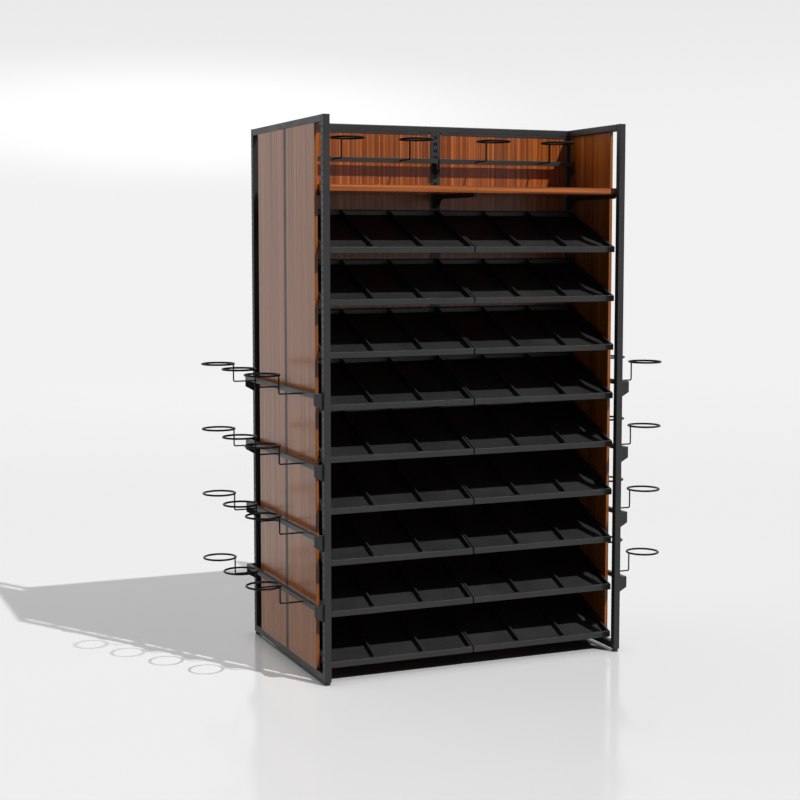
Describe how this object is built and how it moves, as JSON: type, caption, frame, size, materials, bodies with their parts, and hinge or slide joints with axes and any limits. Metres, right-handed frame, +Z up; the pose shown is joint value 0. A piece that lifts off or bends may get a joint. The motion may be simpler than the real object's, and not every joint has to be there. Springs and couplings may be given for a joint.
{
  "type": "double-sided display stand",
  "caption": "Free-standing shop display in black steel and wood: sloping divided trays and a shelf on both faces of a boarded spine, with hook-on wire ring racks.",
  "frame": {"origin": "on the floor, in the middle of the plan", "axes": "+X along the spine to the right as seen from the front, +Y from front to rear, +Z up"},
  "size_m": [1.6914, 0.814, 2],
  "materials": {
    "frame_steel": "black powder coat with a low sheen",
    "tray_steel": "black powder coat with a low sheen",
    "rack_steel": "black powder coat with a low sheen",
    "side_wood": "reddish brown wood grain, upright, satin",
    "spine_wood": "reddish brown wood grain, upright, satin",
    "shelf_wood": "reddish brown wood grain, lengthways, satin",
    "foot": "black moulded pad",
    "plug": "black moulded plug"
  },
  "bodies": {
    "frame": {"left_front_post": "frame_steel", "left_mid_post": "frame_steel", "left_rear_post": "frame_steel", "left_top_rail": "frame_steel", "left_bottom_rail": "frame_steel", "left_front_board": "side_wood", "left_rear_board": "side_wood", "right_front_post": "frame_steel", "right_mid_post": "frame_steel", "right_rear_post": "frame_steel", "right_top_rail": "frame_steel", "right_bottom_rail": "frame_steel", "right_front_board": "side_wood", "right_rear_board": "side_wood", "centre_post": "frame_steel", "spine_top_rail": "frame_steel", "spine_bottom_rail": "frame_steel", "left_spine_board": "spine_wood", "right_spine_board": "spine_wood", "panel_channels": "frame_steel", "shelf_boards_front": "shelf_wood", "shelf_boards_rear": "shelf_wood", "shelf_brackets": "frame_steel", "foot_plugs": "plug"},
    "foot_front_left": {"foot_front_left": "foot"},
    "foot_front_right": {"foot_front_right": "foot"},
    "foot_rear_left": {"foot_rear_left": "foot"},
    "foot_rear_right": {"foot_rear_right": "foot"},
    "left_ring_rack_1": {"left_ring_rack_1": "rack_steel"},
    "left_ring_rack_2": {"left_ring_rack_2": "rack_steel"},
    "left_ring_rack_3": {"left_ring_rack_3": "rack_steel"},
    "left_ring_rack_4": {"left_ring_rack_4": "rack_steel"},
    "right_ring_rack_1": {"right_ring_rack_1": "rack_steel"},
    "right_ring_rack_2": {"right_ring_rack_2": "rack_steel"},
    "right_ring_rack_3": {"right_ring_rack_3": "rack_steel"},
    "right_ring_rack_4": {"right_ring_rack_4": "rack_steel"},
    "top_rack_front_left": {"top_rack_front_left": "rack_steel"},
    "top_rack_front_right": {"top_rack_front_right": "rack_steel"},
    "top_rack_rear_left": {"top_rack_rear_left": "rack_steel"},
    "top_rack_rear_right": {"top_rack_rear_right": "rack_steel"},
    "front_tray_row_1": {"front_tray_row_1": "tray_steel"},
    "front_tray_row_2": {"front_tray_row_2": "tray_steel"},
    "front_tray_row_3": {"front_tray_row_3": "tray_steel"},
    "front_tray_row_4": {"front_tray_row_4": "tray_steel"},
    "front_tray_row_5": {"front_tray_row_5": "tray_steel"},
    "front_tray_row_6": {"front_tray_row_6": "tray_steel"},
    "front_tray_row_7": {"front_tray_row_7": "tray_steel"},
    "front_tray_row_8": {"front_tray_row_8": "tray_steel"},
    "front_tray_row_9": {"front_tray_row_9": "tray_steel"},
    "rear_tray_row_1": {"rear_tray_row_1": "tray_steel"},
    "rear_tray_row_2": {"rear_tray_row_2": "tray_steel"},
    "rear_tray_row_3": {"rear_tray_row_3": "tray_steel"},
    "rear_tray_row_4": {"rear_tray_row_4": "tray_steel"},
    "rear_tray_row_5": {"rear_tray_row_5": "tray_steel"},
    "rear_tray_row_6": {"rear_tray_row_6": "tray_steel"},
    "rear_tray_row_7": {"rear_tray_row_7": "tray_steel"},
    "rear_tray_row_8": {"rear_tray_row_8": "tray_steel"},
    "rear_tray_row_9": {"rear_tray_row_9": "tray_steel"}
  },
  "joints": [
    {"name": "foot_front_left_screw", "type": "slide", "parent": "frame", "child": "foot_front_left", "axis": [0, 0, -1], "range_m": [0, 0.012]},
    {"name": "foot_front_right_screw", "type": "slide", "parent": "frame", "child": "foot_front_right", "axis": [0, 0, -1], "range_m": [0, 0.012]},
    {"name": "foot_rear_left_screw", "type": "slide", "parent": "frame", "child": "foot_rear_left", "axis": [0, 0, -1], "range_m": [0, 0.012]},
    {"name": "foot_rear_right_screw", "type": "slide", "parent": "frame", "child": "foot_rear_right", "axis": [0, 0, -1], "range_m": [0, 0.012]},
    {"name": "left_ring_rack_1_lift", "type": "slide", "parent": "frame", "child": "left_ring_rack_1", "axis": [0, 0, 1], "range_m": [0, 0.006]},
    {"name": "left_ring_rack_2_lift", "type": "slide", "parent": "frame", "child": "left_ring_rack_2", "axis": [0, 0, 1], "range_m": [0, 0.006]},
    {"name": "left_ring_rack_3_lift", "type": "slide", "parent": "frame", "child": "left_ring_rack_3", "axis": [0, 0, 1], "range_m": [0, 0.006]},
    {"name": "left_ring_rack_4_lift", "type": "slide", "parent": "frame", "child": "left_ring_rack_4", "axis": [0, 0, 1], "range_m": [0, 0.006]},
    {"name": "right_ring_rack_1_lift", "type": "slide", "parent": "frame", "child": "right_ring_rack_1", "axis": [0, 0, 1], "range_m": [0, 0.006]},
    {"name": "right_ring_rack_2_lift", "type": "slide", "parent": "frame", "child": "right_ring_rack_2", "axis": [0, 0, 1], "range_m": [0, 0.006]},
    {"name": "right_ring_rack_3_lift", "type": "slide", "parent": "frame", "child": "right_ring_rack_3", "axis": [0, 0, 1], "range_m": [0, 0.006]},
    {"name": "right_ring_rack_4_lift", "type": "slide", "parent": "frame", "child": "right_ring_rack_4", "axis": [0, 0, 1], "range_m": [0, 0.006]},
    {"name": "top_rack_front_left_lift", "type": "slide", "parent": "frame", "child": "top_rack_front_left", "axis": [0, 0, 1], "range_m": [0, 0.006]},
    {"name": "top_rack_front_right_lift", "type": "slide", "parent": "frame", "child": "top_rack_front_right", "axis": [0, 0, 1], "range_m": [0, 0.006]},
    {"name": "top_rack_rear_left_lift", "type": "slide", "parent": "frame", "child": "top_rack_rear_left", "axis": [0, 0, 1], "range_m": [0, 0.006]},
    {"name": "top_rack_rear_right_lift", "type": "slide", "parent": "frame", "child": "top_rack_rear_right", "axis": [0, 0, 1], "range_m": [0, 0.006]},
    {"name": "front_tray_row_1_lift", "type": "slide", "parent": "frame", "child": "front_tray_row_1", "axis": [0, 0, 1], "range_m": [0, 0.006]},
    {"name": "front_tray_row_2_lift", "type": "slide", "parent": "frame", "child": "front_tray_row_2", "axis": [0, 0, 1], "range_m": [0, 0.006]},
    {"name": "front_tray_row_3_lift", "type": "slide", "parent": "frame", "child": "front_tray_row_3", "axis": [0, 0, 1], "range_m": [0, 0.006]},
    {"name": "front_tray_row_4_lift", "type": "slide", "parent": "frame", "child": "front_tray_row_4", "axis": [0, 0, 1], "range_m": [0, 0.006]},
    {"name": "front_tray_row_5_lift", "type": "slide", "parent": "frame", "child": "front_tray_row_5", "axis": [0, 0, 1], "range_m": [0, 0.006]},
    {"name": "front_tray_row_6_lift", "type": "slide", "parent": "frame", "child": "front_tray_row_6", "axis": [0, 0, 1], "range_m": [0, 0.006]},
    {"name": "front_tray_row_7_lift", "type": "slide", "parent": "frame", "child": "front_tray_row_7", "axis": [0, 0, 1], "range_m": [0, 0.006]},
    {"name": "front_tray_row_8_lift", "type": "slide", "parent": "frame", "child": "front_tray_row_8", "axis": [0, 0, 1], "range_m": [0, 0.006]},
    {"name": "front_tray_row_9_lift", "type": "slide", "parent": "frame", "child": "front_tray_row_9", "axis": [0, 0, 1], "range_m": [0, 0.006]},
    {"name": "rear_tray_row_1_lift", "type": "slide", "parent": "frame", "child": "rear_tray_row_1", "axis": [0, 0, 1], "range_m": [0, 0.006]},
    {"name": "rear_tray_row_2_lift", "type": "slide", "parent": "frame", "child": "rear_tray_row_2", "axis": [0, 0, 1], "range_m": [0, 0.006]},
    {"name": "rear_tray_row_3_lift", "type": "slide", "parent": "frame", "child": "rear_tray_row_3", "axis": [0, 0, 1], "range_m": [0, 0.006]},
    {"name": "rear_tray_row_4_lift", "type": "slide", "parent": "frame", "child": "rear_tray_row_4", "axis": [0, 0, 1], "range_m": [0, 0.006]},
    {"name": "rear_tray_row_5_lift", "type": "slide", "parent": "frame", "child": "rear_tray_row_5", "axis": [0, 0, 1], "range_m": [0, 0.006]},
    {"name": "rear_tray_row_6_lift", "type": "slide", "parent": "frame", "child": "rear_tray_row_6", "axis": [0, 0, 1], "range_m": [0, 0.006]},
    {"name": "rear_tray_row_7_lift", "type": "slide", "parent": "frame", "child": "rear_tray_row_7", "axis": [0, 0, 1], "range_m": [0, 0.006]},
    {"name": "rear_tray_row_8_lift", "type": "slide", "parent": "frame", "child": "rear_tray_row_8", "axis": [0, 0, 1], "range_m": [0, 0.006]},
    {"name": "rear_tray_row_9_lift", "type": "slide", "parent": "frame", "child": "rear_tray_row_9", "axis": [0, 0, 1], "range_m": [0, 0.006]}
  ]
}
